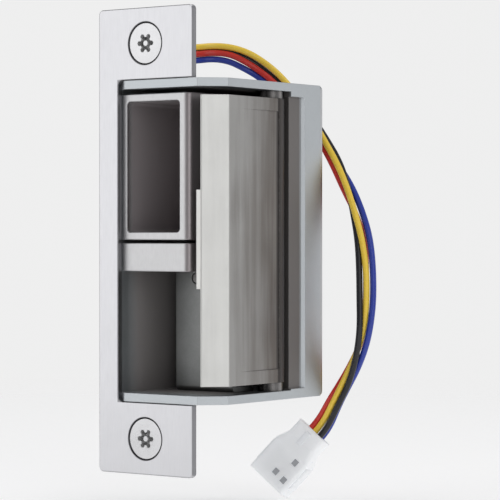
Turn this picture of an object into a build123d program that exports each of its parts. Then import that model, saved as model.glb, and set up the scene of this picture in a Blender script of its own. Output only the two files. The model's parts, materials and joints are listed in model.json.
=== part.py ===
"""Electric door strike, in millimetres.

The origin lies midway between the two frame screws, on the plane of the mounting
ears' backs, which rest on the door frame.  +X points to the keeper's side, +Y into
the frame and +Z up.
"""
from build123d import *
import math
import os

os.makedirs("parts", exist_ok=True)

# Faceplate: the common 4-7/8 x 1-1/4 inch strike size, with screws 4-1/8 inch apart
PLATE_WIDTH = 31.75
PLATE_HEIGHT = 123.8
PLATE_THICKNESS = 1.6
SCREW_SPACING = 104.775
EAR_THICKNESS = 3.3
FRONT_Y = -(PLATE_THICKNESS + EAR_THICKNESS)
PLATE_BACK_Y = -EAR_THICKNESS
CUTOUT_LEFT = -9.28
CUTOUT_HALF_HEIGHT = 42.87
CUTOUT_CORNER = 1.5
PLATE_CORNER = 1.3
PLATE_EDGE = 0.3

# Frame screws: number 12 flat heads with a pinned six-lobe drive
SCREW_HEAD_RADIUS = 5.35
SCREW_SHANK_RADIUS = 2.5
SCREW_THREAD_RADIUS = 2.74
SCREW_THREAD_LENGTH = 13.5
SCREW_POINT = 1.0
SCREW_POINT_TAPER = 0.7
SCREW_HOLE_RADIUS = 3.0
SINK_RADIUS = 5.78
SINK_HALF_ANGLE = 41.0
HEAD_DEPTH = 0.2
HEAD_RIM = 0.25
DRIVE_CORE_RADIUS = 2.0
DRIVE_LOBE_RADIUS = 0.62
DRIVE_DEPTH = 2.1
DRIVE_PIN_RADIUS = 0.75

# Case
CASE_HALF_HEIGHT = 42.7
WALL = 2.25
CASE_LEFT = -13.475
CASE_RIGHT = 23.225
CASE_BACK_Y = 43.1
LEFT_WALL_INNER = -9.5
LEFT_WALL_REAR_INNER = -11.475
LEFT_WALL_STEP_Y = 23.4
LIP_X = 17.425
LIP_CHAMFER = CASE_RIGHT - LIP_X
BAND_X = 22.4
BAND_INNER_X = 20.7
BAND_FRONT_Y = 29.3
BAR_FRONT_Y = 35.8
BAR_BEVEL_Y = 35.1
CORNER_TOP = 39.1
CORNER_BOTTOM = -40.1
SHIELD_FRONT_Y = 29.6
SHIELD_BACK_Y = 31.2
SHIELD_LEFT = 14.4
EAR_LEFT = -10.9
EAR_RIGHT = 10.6
EAR_TOP = 60.0
EAR_CORNER = 2.5
COVER_THICKNESS = 1.2
COVER_CORNER = 1.2
COVER_EDGE = 0.3
COVER_BACK_Y = CASE_BACK_Y + COVER_THICKNESS
BOSS_RADIUS = 3.0
BOSS_FRONT_Y = 35.2
BOSS_X = (-7.5, 17.5)
BOSS_Z = (-37.4, 37.4)
M3_RADIUS = 1.5
M3_HOLE_RADIUS = 1.52
M3_CLEAR_RADIUS = 1.7
PAN_RADIUS = 2.8
PAN_HEIGHT = 1.6
PAN_RECESS = 0.2
SLOT_HALF = 0.3
SLOT_DEPTH = 0.6
SLIP = 0.02

# Insert: the deadbolt box above, the block between and the latch plate below
INSERT_LEFT = -9.48
INSERT_RIGHT = 13.4
INSERT_EDGE = 2.0
INSERT_RIM = 0.35
INSERT_FRONT_Y = -2.9
BOX_BOTTOM = 0.3
BOX_TOP = 39.2
BOX_BACK_Y = 23.1
BOX_OPENING_LEFT = -7.84
BOX_OPENING_RIGHT = 9.93
BOX_OPENING_BOTTOM = 2.4
BOX_OPENING_TOP = 37.1
BLOCK_BOTTOM = -8.1
BLOCK_TOP = -0.5
BLOCK_BACK_Y = 12.1
LATCH_PLATE_THICKNESS = 1.5
LATCH_PLATE_BACK_Y = BLOCK_BACK_Y + LATCH_PLATE_THICKNESS
LATCH_PLATE_LEFT = -2.88
LATCH_PLATE_RIGHT = 16.2
LATCH_FOOT_Y = 21.0
INSERT_SCREW_Y = 10.0
INSERT_SCREW_Z = (30.0, 10.0, -4.3)
BLIND_WALL = 0.2
GUARD_SCREW_REACH = 7.0
GUARD_HOLE_REACH = 8.0
BOX_BACK_WALL = 1.2
BOX_OPENING_CORNER = 1.0
LATCH_FOOT_X = 6.0
LATCH_FOOT_SCREW_Y = 17.5
LATCH_SCREW_X = 2.0
LATCH_SCREW_Z = -3.2
LATCH_BEND = 1.4
LATCH_SCREW_REACH = 5.5
LATCH_HOLE_REACH = 7.0
LATCH_HEAD_RADIUS = 2.5
FOOT_SCREW_REACH = 2.5

# Keeper, hinged on a vertical pin
PIVOT_X = 19.3
PIVOT_Y = 25.0
BARREL_RADIUS = 3.8
KEEPER_BOTTOM = -38.0
KEEPER_TOP = 38.3
KEEPER_INNER = 17.525
KEEPER_TIP_Y = -4.4
KEEPER_SIDE_BACK_Y = 23.1
KEEPER_WEB_X = 22.9
PIN_RADIUS = 2.0
RUNNING_GAP = 0.05
BUSH_RADIUS = 3.4
PANEL_DEPTH = 0.45
PANEL_FRONT_Y = 6.0
PANEL_BOTTOM = -34.4
PANEL_TOP = 34.9
PAD_LEFT = 15.6
PAD_BOTTOM = -12.5
PAD_TOP = 13.5
PAD_BACK_Y = 8.0
PAD_EDGE = 0.6
KEEPER_EDGE = 0.35
TAIL_TIP_X = 10.4
TAIL_HALF_THICKNESS = 1.6
TAIL_BOTTOM = -32.0
TAIL_TOP = -14.5
SPRING_POCKET_RADIUS = 3.2
SPRING_POCKET_HALF = 9.0
SPRING_RADIUS = 2.6
SPRING_WIRE_RADIUS = 0.4
SPRING_HALF_LENGTH = 7.5
SPRING_PITCH = 1.0
SPRING_LEG = 5.6
SPRING_LEG_TOP = -6.0

# Lock lever, rocking on a pin along Y
LEVER_X = 4.0
LEVER_Z = -10.0
LEVER_HUB_RADIUS = 2.8
LEVER_FRONT_Y = 17.4
LEVER_NOSE_BACK_Y = 22.2
LEVER_HUB_BACK_Y = 38.0
LEVER_PIN_RADIUS = 1.5
LINK_REACH = 6.85
LINK_DROP = 1.46
LEVER_ARM_HALF = 2.4
LEVER_EYE_RADIUS = 2.3
LEVER_BLADE_HALF = 1.0
LINK_SLOT_TRAVEL = 0.7
LINK_SLOT_GAP = 0.09

# Solenoid, upright behind the deadbolt box
COIL_X = LEVER_X - LINK_REACH
COIL_Y = 33.1
YOKE_BOTTOM = 1.0
YOKE_TOP = 27.5
YOKE_SHEET = 1.5
YOKE_HALF_WIDTH = 7.0
YOKE_FRONT_Y = 25.5
COIL_RADIUS = 6.35
BOBBIN_RADIUS = 6.8
BOBBIN_FLANGE = 1.2
BOBBIN_TUBE_RADIUS = 3.8
BOBBIN_BORE_RADIUS = 3.2
PLUNGER_RADIUS = 3.0
PLUNGER_BOTTOM = -14.2
PLUNGER_TOP = 13.8
PLUNGER_SLOT_HALF = 1.3
PLUNGER_SLOT_REACH = 4.1
CORE_BOTTOM = 17.1
CORE_STUD_RADIUS = 2.0
CLIP_BOTTOM = -5.9
CLIP_THICKNESS = 0.6
CLIP_RADIUS = 4.7
GROOVE_RADIUS = 2.4
RETURN_SPRING_RADIUS = 3.95
RETURN_SPRING_WIRE = 0.28
LINK_PIN_RADIUS = 1.0
SOLENOID_SCREW_Z = (6.5, 21.5)
M25_RADIUS = 1.25
M25_HEAD_RADIUS = 2.3
M25_HEAD_HEIGHT = 1.4

# Wires, gland, terminal board and plug
WIRE_RADIUS = 0.875
GROMMET_Y = 31.0
GROMMET_Z = 30.375
GROMMET_RADIUS = 3.1
GROMMET_FLANGE_RADIUS = 4.2
GROMMET_FLANGE = 1.1
WIRE_HOLE_RADIUS = 0.95
WIRE_PITCH = 1.0
BOARD_THICKNESS = 1.2
BOARD_RIGHT = -7.4
BOARD_LEFT = BOARD_RIGHT - BOARD_THICKNESS
BOARD_DEPTHS = (26.5, 34.5)
BOARD_TOP = 36.0
PLUG_ENTRY = (17.2, 49.3, -53.3)
PLUG_AXIS = (-0.5465, -0.4014, -0.735)
PLUG_SIDE = (0.7591, 0.1332, -0.6371)
NECK_WIDTH = 9.8
NECK_DEPTH = 7.2
NECK_CORNER = 1.2
NECK_LENGTH = 4.6
SHOULDER_LENGTH = 3.6
PLUG_WIDTH = 12.4
PLUG_DEPTH = 8.6
PLUG_LENGTH = 10.8
PLUG_CORNER = 1.0
CAVITY_PITCH = (4.2, 3.6)
CAVITY_SIDE = 2.7
CAVITY_DEPTH = 9.0
TERMINAL_SIDE = 2.0
TERMINAL_BORE = 1.2
TERMINAL_LENGTH = 7.0
LEAD_IN = 3.0

# Routes from the terminal board, out through the gland and over to the plug
WIRE_ROUTES = {
    "wire_yellow": [
        (-8.6, 30, 29.4), (-15.4, 30, 29.4), (-24.8, 30, 28.9), (-32, 30, 36.7),
        (-31.6, 29.8, 47.4), (-24, 29.5, 54), (-10, 30.2, 54), (-6.3, 33.2, 54.5),
        (-4.1, 38.6, 54.4), (-1.7, 43.4, 53.1), (1.6, 46.6, 50.4), (6.1, 48, 46.6),
        (11.3, 48.4, 41.1), (16.1, 48.4, 35.1), (21, 48.2, 28), (25.5, 48, 21.5),
        (28.8, 48, 14.8), (31.5, 48, 7.7), (33.9, 48, 0.2), (35.2, 48, -8),
        (35.3, 48, -16.2), (34.4, 48.3, -23.1), (32.5, 48.8, -28.7), (29.2, 49.4, -34.6),
        (26.2, 49.6, -39.7), (23.2, 49.7, -44.7),
    ],
    "wire_black": [
        (-8.6, 32, 29.4), (-15.4, 32, 29.4), (-24.4, 32, 28.9), (-31.3, 32.1, 36),
        (-30.9, 32.1, 46.2), (-24, 31.7, 52.9), (-11, 31.7, 53.1), (-7.4, 34.7, 53.6),
        (-5.3, 40, 53.5), (-3.3, 44.5, 51.7), (-0.2, 47.6, 49.2), (4.2, 48.9, 45.6),
        (9.8, 49.7, 40.8), (15.2, 50.1, 35.2), (20.5, 50.1, 28.4), (25.1, 50, 21.9),
        (28, 49.7, 15), (30.1, 49.3, 7.5), (32.1, 48.5, -0), (33.5, 47.1, -8.1),
        (33.8, 46.8, -16.1), (34.2, 46.4, -22.9), (33.3, 46.9, -28.5), (30.9, 48.3, -34.9),
        (28, 49.5, -40.4), (25, 49.6, -45.3),
    ],
    "wire_red": [
        (-8.6, 30, 31.35), (-15.4, 30, 31.35), (-24, 30, 30.9), (-30.2, 30, 37.6),
        (-29.7, 29.8, 46.6), (-23.1, 29.3, 52), (-9.8, 30.3, 52.1), (-6.3, 33.2, 52.6),
        (-4.4, 38.4, 52.4), (-2.7, 42.9, 50.7), (0.2, 45.8, 48.2), (4.5, 47.1, 44.8),
        (9.3, 48, 39.7), (14.2, 48.8, 34.3), (19.3, 49, 27.5), (23.4, 49.1, 21),
        (25.9, 50.5, 14.5), (29.5, 51.3, 7.7), (33.1, 50.4, 0.4), (34.1, 49.6, -8),
        (34.2, 49.5, -16.2), (33.4, 49.9, -23.1), (31.5, 50.6, -28.7), (27.9, 51, -34.6),
        (24.7, 50.8, -39.5), (21.4, 50.5, -44.2),
    ],
    "wire_blue": [
        (-8.6, 32, 31.35), (-15.4, 32, 31.35), (-23.6, 32, 30.9), (-29.5, 31.8, 37.1),
        (-28.6, 31.4, 45.3), (-22.5, 30.3, 50.1), (-10.1, 31, 50.4), (-6.7, 33.8, 50.9),
        (-5.1, 38.8, 50.5), (-3.8, 43.1, 49), (-1, 45.9, 46.9), (3.1, 47.2, 43.7),
        (7.6, 48.7, 39), (12.6, 49.8, 33.8), (17.9, 50.2, 27.2), (23.2, 51.5, 21.6),
        (27.8, 51.8, 15.3), (32.2, 50.5, 8.3), (35.3, 49.8, 0.7), (36.6, 49.3, -7.9),
        (36.8, 49.1, -16.3), (36.2, 48.6, -23.3), (34.5, 48.9, -29.2), (30.7, 50.5, -35.4),
        (27, 51.4, -40.5), (23.8, 51.7, -45.5),
    ],
}
# Where each wire enters the plug: along its side and its face, from the entry's centre
WIRE_ENTRIES = {
    "wire_yellow": (0.2, 0.5),
    "wire_black": (2.3, 1.15),
    "wire_red": (-1.6, -0.4),
    "wire_blue": (2.3, -1.05),
}


def save(builder, name):
    builder.part.label = name
    export_step(builder.part, f"parts/{name}.step")


def add_block(x, y, z, mode=Mode.ADD):
    """A box between pairs of limits, joined to or cut from the open builder."""
    with Locations(Location(((x[0] + x[1]) / 2, (y[0] + y[1]) / 2, (z[0] + z[1]) / 2))):
        Box(x[1] - x[0], y[1] - y[0], z[1] - z[0], mode=mode)


def rod_y(x, z, y, radius, mode=Mode.ADD):
    """A cylinder along Y between two depths."""
    with Locations(Location((x, (y[0] + y[1]) / 2, z), (90, 0, 0))):
        Cylinder(radius, y[1] - y[0], mode=mode)


def rod_z(x, y, z, radius, mode=Mode.ADD):
    """A cylinder along Z between two heights."""
    with Locations(Location((x, y, (z[0] + z[1]) / 2))):
        Cylinder(radius, z[1] - z[0], mode=mode)


def rod_x(y, z, x, radius, mode=Mode.ADD):
    """A cylinder along X between two positions."""
    with Locations(Location(((x[0] + x[1]) / 2, y, z), (0, 90, 0))):
        Cylinder(radius, x[1] - x[0], mode=mode)


def cone_y(x, z, y, radii, mode=Mode.ADD):
    """A cone along Y whose radii are given at its front and its back."""
    with Locations(Location((x, (y[0] + y[1]) / 2, z), (-90, 0, 0))):
        Cone(radii[0], radii[1], y[1] - y[0], mode=mode)


def sink_radius_at(y):
    return SINK_RADIUS - (y - FRONT_Y) * math.tan(math.radians(SINK_HALF_ANGLE))


def screw_heights():
    return (-SCREW_SPACING / 2, SCREW_SPACING / 2)


def make_faceplate():
    with BuildPart() as plate:
        half = PLATE_WIDTH / 2
        add_block((-half, half), (FRONT_Y, PLATE_BACK_Y), (-PLATE_HEIGHT / 2, PLATE_HEIGHT / 2))
        add_block((CUTOUT_LEFT, half + 1), (FRONT_Y - 1, PLATE_BACK_Y + 1),
                  (-CUTOUT_HALF_HEIGHT, CUTOUT_HALF_HEIGHT), Mode.SUBTRACT)
        upright = plate.edges().filter_by(Axis.Y)
        inner = upright.filter_by_position(Axis.X, CUTOUT_LEFT - 0.1, CUTOUT_LEFT + 0.1)
        fillet(inner, CUTOUT_CORNER)
        upright = plate.edges().filter_by(Axis.Y).filter_by(GeomType.LINE)
        ends = upright.filter_by_position(Axis.Z, -PLATE_HEIGHT, -PLATE_HEIGHT / 2 + 0.1)
        ends += upright.filter_by_position(Axis.Z, PLATE_HEIGHT / 2 - 0.1, PLATE_HEIGHT)
        fillet(ends, PLATE_CORNER)
        front = plate.faces().sort_by(Axis.Y)[0]
        fillet(front.edges(), PLATE_EDGE)
        for z in screw_heights():
            cone_y(0, z, (FRONT_Y, PLATE_BACK_Y), (SINK_RADIUS, sink_radius_at(PLATE_BACK_Y)),
                   Mode.SUBTRACT)
    save(plate, "faceplate")


def six_lobe_sketch():
    Circle(DRIVE_CORE_RADIUS)
    with PolarLocations(DRIVE_CORE_RADIUS, 6):
        Circle(DRIVE_LOBE_RADIUS)
    with PolarLocations(DRIVE_CORE_RADIUS + 0.12, 6, start_angle=30):
        Circle(DRIVE_LOBE_RADIUS * 0.8, mode=Mode.SUBTRACT)
    Circle(DRIVE_PIN_RADIUS, mode=Mode.SUBTRACT)


def make_frame_screws():
    head_y = FRONT_Y + HEAD_DEPTH
    cone_y0 = head_y + HEAD_RIM
    cone_length = (SCREW_HEAD_RADIUS - SCREW_SHANK_RADIUS) / math.tan(math.radians(SINK_HALF_ANGLE))
    tip = SCREW_THREAD_LENGTH
    with BuildPart() as screws:
        for z in screw_heights():
            rod_y(0, z, (head_y, cone_y0), SCREW_HEAD_RADIUS)
            cone_y(0, z, (cone_y0, cone_y0 + cone_length), (SCREW_HEAD_RADIUS, SCREW_SHANK_RADIUS))
            rod_y(0, z, (cone_y0 + cone_length, 0), SCREW_SHANK_RADIUS)
            rod_y(0, z, (0, tip - SCREW_POINT), SCREW_THREAD_RADIUS)
            cone_y(0, z, (tip - SCREW_POINT, tip),
                   (SCREW_THREAD_RADIUS, SCREW_THREAD_RADIUS - SCREW_POINT_TAPER))
            drive_plane = Plane(origin=(0, head_y, z), x_dir=(1, 0, 0), z_dir=(0, -1, 0))
            with BuildSketch(drive_plane):
                six_lobe_sketch()
            extrude(amount=-DRIVE_DEPTH, mode=Mode.SUBTRACT)
    save(screws, "frame_screws")


def case_plan(height):
    """Plan of the top and bottom walls: flush front lip, chamfered right corner."""
    round_in = 1.6
    lip_left = CUTOUT_LEFT + 1.0
    with BuildSketch(Plane.XY.offset(height)) as plan:
        with BuildLine():
            Polyline(
                (lip_left, FRONT_Y + round_in), (lip_left, PLATE_BACK_Y), (CASE_LEFT, PLATE_BACK_Y),
                (CASE_LEFT, CASE_BACK_Y), (CASE_RIGHT, CASE_BACK_Y), (CASE_RIGHT, FRONT_Y + LIP_CHAMFER),
                (LIP_X, FRONT_Y), (lip_left + round_in, FRONT_Y))
            TangentArc((lip_left + round_in, FRONT_Y), (lip_left, FRONT_Y + round_in), tangent=(-1, 0))
        make_face()
    return plan.sketch


def add_case_side_walls():
    inside = (-CASE_HALF_HEIGHT + WALL - 0.5, CASE_HALF_HEIGHT - WALL + 0.5)
    add_block((CASE_LEFT, LEFT_WALL_INNER), (PLATE_BACK_Y, LEFT_WALL_STEP_Y), inside)
    add_block((CASE_LEFT, LEFT_WALL_REAR_INNER), (LEFT_WALL_STEP_Y - 1, CASE_BACK_Y), inside)
    with BuildSketch(Plane.XY.offset(inside[0])) as side:
        with BuildLine():
            Polyline(
                (BAND_X, BAND_FRONT_Y), (BAND_X, BAR_BEVEL_Y), (CASE_RIGHT, BAR_FRONT_Y),
                (CASE_RIGHT, CASE_BACK_Y), (BAND_INNER_X, CASE_BACK_Y), (BAND_INNER_X, SHIELD_BACK_Y),
                (SHIELD_LEFT, SHIELD_BACK_Y), (SHIELD_LEFT, SHIELD_FRONT_Y),
                (BAND_INNER_X, SHIELD_FRONT_Y), close=True)
        make_face()
    extrude(side.sketch, amount=inside[1] - inside[0])
    for corner in ((CORNER_TOP, inside[1]), (inside[0], CORNER_BOTTOM)):
        add_block((BAND_INNER_X, CASE_RIGHT), (BAND_FRONT_Y, CASE_BACK_Y), corner)
    add_block((SHIELD_LEFT, SHIELD_LEFT + 1.75), (SHIELD_FRONT_Y - 1.1, SHIELD_FRONT_Y + 0.5), (4.5, 10))


def make_case():
    with BuildPart() as case:
        extrude(case_plan(CASE_HALF_HEIGHT - WALL), amount=WALL)
        extrude(case_plan(-CASE_HALF_HEIGHT), amount=WALL)
        add_case_side_walls()
        for side in (-1, 1):
            low, high = sorted((side * (CASE_HALF_HEIGHT - 0.5), side * EAR_TOP))
            add_block((EAR_LEFT, EAR_RIGHT), (PLATE_BACK_Y, 0), (low, high))
        for x in BOSS_X:
            for z in BOSS_Z:
                rod_y(x, z, (BOSS_FRONT_Y, CASE_BACK_Y), BOSS_RADIUS)
                wall_z = math.copysign(CASE_HALF_HEIGHT - WALL + 0.2, z)
                add_block((x - BOSS_RADIUS, x + BOSS_RADIUS), (BOSS_FRONT_Y, CASE_BACK_Y),
                          sorted((z, wall_z)))
        corners = case.edges().filter_by(Axis.Y).filter_by_position(Axis.Z, -EAR_TOP - 0.1, EAR_TOP + 0.1)
        tips = corners.filter_by_position(Axis.Z, EAR_TOP - 0.1, EAR_TOP + 0.1)
        tips += corners.filter_by_position(Axis.Z, -EAR_TOP - 0.1, -EAR_TOP + 0.1)
        fillet(tips, EAR_CORNER)
        cut_case_holes()
    save(case, "case")


def cut_case_holes():
    for z in screw_heights():
        rod_y(0, z, (PLATE_BACK_Y - 1, 1), SCREW_HOLE_RADIUS, Mode.SUBTRACT)
        sink_back = PLATE_BACK_Y + (sink_radius_at(PLATE_BACK_Y) - SCREW_HOLE_RADIUS) / math.tan(
            math.radians(SINK_HALF_ANGLE))
        cone_y(0, z, (PLATE_BACK_Y, sink_back), (sink_radius_at(PLATE_BACK_Y), SCREW_HOLE_RADIUS),
               Mode.SUBTRACT)
    for x in BOSS_X:
        for z in BOSS_Z:
            rod_y(x, z, (BOSS_FRONT_Y + 0.6, CASE_BACK_Y + 1), M3_HOLE_RADIUS, Mode.SUBTRACT)
    rod_z(PIVOT_X, PIVOT_Y, (-CASE_HALF_HEIGHT - 1, CASE_HALF_HEIGHT + 1), PIN_RADIUS + SLIP, Mode.SUBTRACT)
    rod_x(GROMMET_Y, GROMMET_Z, (CASE_LEFT - 1, LEFT_WALL_REAR_INNER + 1), GROMMET_RADIUS + SLIP,
          Mode.SUBTRACT)
    for z in INSERT_SCREW_Z:
        rod_x(INSERT_SCREW_Y, z, (CASE_LEFT - 1, LEFT_WALL_INNER + 1), M3_CLEAR_RADIUS, Mode.SUBTRACT)
        sink = (CASE_LEFT - 1, CASE_LEFT + PAN_HEIGHT + PAN_RECESS)
        rod_x(INSERT_SCREW_Y, z, sink, PAN_RADIUS + PAN_RECESS, Mode.SUBTRACT)
    rod_z(LATCH_FOOT_X, LATCH_FOOT_SCREW_Y, (-CASE_HALF_HEIGHT - 1, -CASE_HALF_HEIGHT + WALL + 0.5),
          M3_CLEAR_RADIUS, Mode.SUBTRACT)


def make_back_cover():
    with BuildPart() as cover:
        add_block((CASE_LEFT, CASE_RIGHT), (CASE_BACK_Y, COVER_BACK_Y), (-CASE_HALF_HEIGHT, CASE_HALF_HEIGHT))
        fillet(cover.edges().filter_by(Axis.Y), COVER_CORNER)
        fillet(cover.faces().sort_by(Axis.Y)[-1].edges(), COVER_EDGE)
        for x in BOSS_X:
            for z in BOSS_Z:
                rod_y(x, z, (CASE_BACK_Y - 1, COVER_BACK_Y + 1), M3_CLEAR_RADIUS, Mode.SUBTRACT)
        for z in SOLENOID_SCREW_Z:
            rod_y(COIL_X, z, (CASE_BACK_Y - 1, COVER_BACK_Y + 1), M25_RADIUS + 0.15, Mode.SUBTRACT)
        rod_y(LEVER_X, LEVER_Z, (CASE_BACK_Y - 1, COVER_BACK_Y + 1), LEVER_PIN_RADIUS + SLIP, Mode.SUBTRACT)
    save(cover, "back_cover")


def add_pan_screw_y(x, z, seat_y, tip_y, radius, head_radius, head_height):
    """A pan-head screw along Y whose head stands behind its seat."""
    head = (seat_y, seat_y + head_height)
    rod_y(x, z, head, head_radius)
    rod_y(x, z, (tip_y, seat_y), radius)
    slot = (head[1] - SLOT_DEPTH, head[1] + 1)
    add_block((x - head_radius, x + head_radius), slot, (z - SLOT_HALF, z + SLOT_HALF), Mode.SUBTRACT)
    add_block((x - SLOT_HALF, x + SLOT_HALF), slot, (z - head_radius, z + head_radius), Mode.SUBTRACT)


def make_cover_screws():
    with BuildPart() as screws:
        for x in BOSS_X:
            for z in BOSS_Z:
                add_pan_screw_y(x, z, COVER_BACK_Y, BOSS_FRONT_Y + 1, M3_RADIUS, PAN_RADIUS, PAN_HEIGHT)
    save(screws, "cover_screws")


def make_deadbolt_box():
    with BuildPart() as box:
        add_block((INSERT_LEFT, INSERT_RIGHT), (INSERT_FRONT_Y, BOX_BACK_Y), (BOX_BOTTOM, BOX_TOP))
        upright = box.edges().filter_by(Axis.Z)
        right = upright.filter_by_position(Axis.X, INSERT_RIGHT - 0.1, INSERT_RIGHT + 0.1)
        fillet(right.sort_by(Axis.Y)[0], INSERT_EDGE)
        with BuildSketch(Plane(origin=(0, INSERT_FRONT_Y, 0), x_dir=(1, 0, 0), z_dir=(0, -1, 0))):
            centre_x = (BOX_OPENING_LEFT + BOX_OPENING_RIGHT) / 2
            centre_z = (BOX_OPENING_BOTTOM + BOX_OPENING_TOP) / 2
            with Locations((centre_x, centre_z)):
                RectangleRounded(BOX_OPENING_RIGHT - BOX_OPENING_LEFT, BOX_OPENING_TOP - BOX_OPENING_BOTTOM,
                                 BOX_OPENING_CORNER)
        extrude(amount=-(BOX_BACK_Y - INSERT_FRONT_Y - BOX_BACK_WALL), mode=Mode.SUBTRACT)
        rim = box.edges().group_by(Axis.Y)[0]
        fillet(rim, INSERT_RIM)
        for z in INSERT_SCREW_Z[:2]:
            rod_x(INSERT_SCREW_Y, z, (INSERT_LEFT - 1, BOX_OPENING_LEFT - BLIND_WALL), M3_HOLE_RADIUS,
                  Mode.SUBTRACT)
    save(box, "deadbolt_box")


def make_guard_block():
    with BuildPart() as block:
        add_block((INSERT_LEFT, INSERT_RIGHT), (INSERT_FRONT_Y, BLOCK_BACK_Y), (BLOCK_BOTTOM, BLOCK_TOP))
        upright = block.edges().filter_by(Axis.Z)
        right = upright.filter_by_position(Axis.X, INSERT_RIGHT - 0.1, INSERT_RIGHT + 0.1)
        fillet(right.sort_by(Axis.Y)[0], INSERT_EDGE)
        fillet(block.edges().group_by(Axis.Y)[0], INSERT_RIM)
        rod_x(INSERT_SCREW_Y, INSERT_SCREW_Z[2], (INSERT_LEFT - 1, INSERT_LEFT + GUARD_HOLE_REACH),
              M3_HOLE_RADIUS, Mode.SUBTRACT)
        rod_y(LATCH_SCREW_X, LATCH_SCREW_Z, (BLOCK_BACK_Y - LATCH_HOLE_REACH, BLOCK_BACK_Y + 1),
              M3_HOLE_RADIUS, Mode.SUBTRACT)
    save(block, "guard_block")


def make_insert_screws():
    seat = CASE_LEFT + PAN_HEIGHT + PAN_RECESS
    slot = (seat - PAN_HEIGHT - 1, seat - PAN_HEIGHT + SLOT_DEPTH)
    short_tip = BOX_OPENING_LEFT - 1.7 * BLIND_WALL
    tips = (short_tip, short_tip, INSERT_LEFT + GUARD_SCREW_REACH)
    with BuildPart() as screws:
        for z, tip in zip(INSERT_SCREW_Z, tips):
            rod_x(INSERT_SCREW_Y, z, (seat - PAN_HEIGHT, seat), PAN_RADIUS)
            rod_x(INSERT_SCREW_Y, z, (seat, tip), M3_RADIUS)
            add_block(slot, (INSERT_SCREW_Y - SLOT_HALF, INSERT_SCREW_Y + SLOT_HALF),
                      (z - PAN_RADIUS, z + PAN_RADIUS), Mode.SUBTRACT)
    save(screws, "insert_screws")


def make_latch_plate():
    floor = -CASE_HALF_HEIGHT + WALL
    with BuildPart() as plate:
        width = (LATCH_PLATE_LEFT, LATCH_PLATE_RIGHT)
        add_block(width, (BLOCK_BACK_Y, LATCH_PLATE_BACK_Y), (floor, BLOCK_TOP))
        add_block(width, (BLOCK_BACK_Y, LATCH_FOOT_Y), (floor, floor + LATCH_PLATE_THICKNESS))
        bend = plate.edges().filter_by(Axis.X).filter_by_position(Axis.Z, floor - 0.1, floor + 0.1)
        fillet(bend.sort_by(Axis.Y)[0], LATCH_BEND)
        through = (BLOCK_BACK_Y - 1, LATCH_PLATE_BACK_Y + 1)
        rod_y(LEVER_X, LEVER_Z, through, LEVER_PIN_RADIUS + SLIP, Mode.SUBTRACT)
        rod_y(LATCH_SCREW_X, LATCH_SCREW_Z, through, M3_CLEAR_RADIUS, Mode.SUBTRACT)
        rod_z(LATCH_FOOT_X, LATCH_FOOT_SCREW_Y, (floor - 1, floor + 3), M3_HOLE_RADIUS, Mode.SUBTRACT)
    save(plate, "latch_plate")


def make_latch_plate_screws():
    low = -CASE_HALF_HEIGHT
    with BuildPart() as screws:
        add_pan_screw_y(LATCH_SCREW_X, LATCH_SCREW_Z, LATCH_PLATE_BACK_Y, BLOCK_BACK_Y - LATCH_SCREW_REACH,
                        M3_RADIUS, LATCH_HEAD_RADIUS, PAN_HEIGHT)
        rod_z(LATCH_FOOT_X, LATCH_FOOT_SCREW_Y, (low - PAN_HEIGHT, low), PAN_RADIUS)
        rod_z(LATCH_FOOT_X, LATCH_FOOT_SCREW_Y, (low, low + WALL + FOOT_SCREW_REACH), M3_RADIUS)
        add_block((LATCH_FOOT_X - PAN_RADIUS, LATCH_FOOT_X + PAN_RADIUS),
                  (LATCH_FOOT_SCREW_Y - SLOT_HALF, LATCH_FOOT_SCREW_Y + SLOT_HALF),
                  (low - PAN_HEIGHT - 1, low - PAN_HEIGHT + SLOT_DEPTH), Mode.SUBTRACT)
    save(screws, "latch_plate_screws")


def keeper_plan():
    side = CASE_RIGHT
    facet = side - KEEPER_INNER
    with BuildSketch(Plane.XY.offset(KEEPER_BOTTOM)) as plan:
        with BuildLine():
            Polyline(
                (KEEPER_INNER, KEEPER_TIP_Y), (side, KEEPER_TIP_Y + facet), (side, KEEPER_SIDE_BACK_Y),
                (KEEPER_WEB_X, KEEPER_SIDE_BACK_Y), (KEEPER_WEB_X, PIVOT_Y), (PIVOT_X, PIVOT_Y),
                (KEEPER_INNER, KEEPER_SIDE_BACK_Y - 1.0), close=True)
        make_face()
        with Locations((PIVOT_X, PIVOT_Y)):
            Circle(BARREL_RADIUS)
    return plan.sketch


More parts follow.
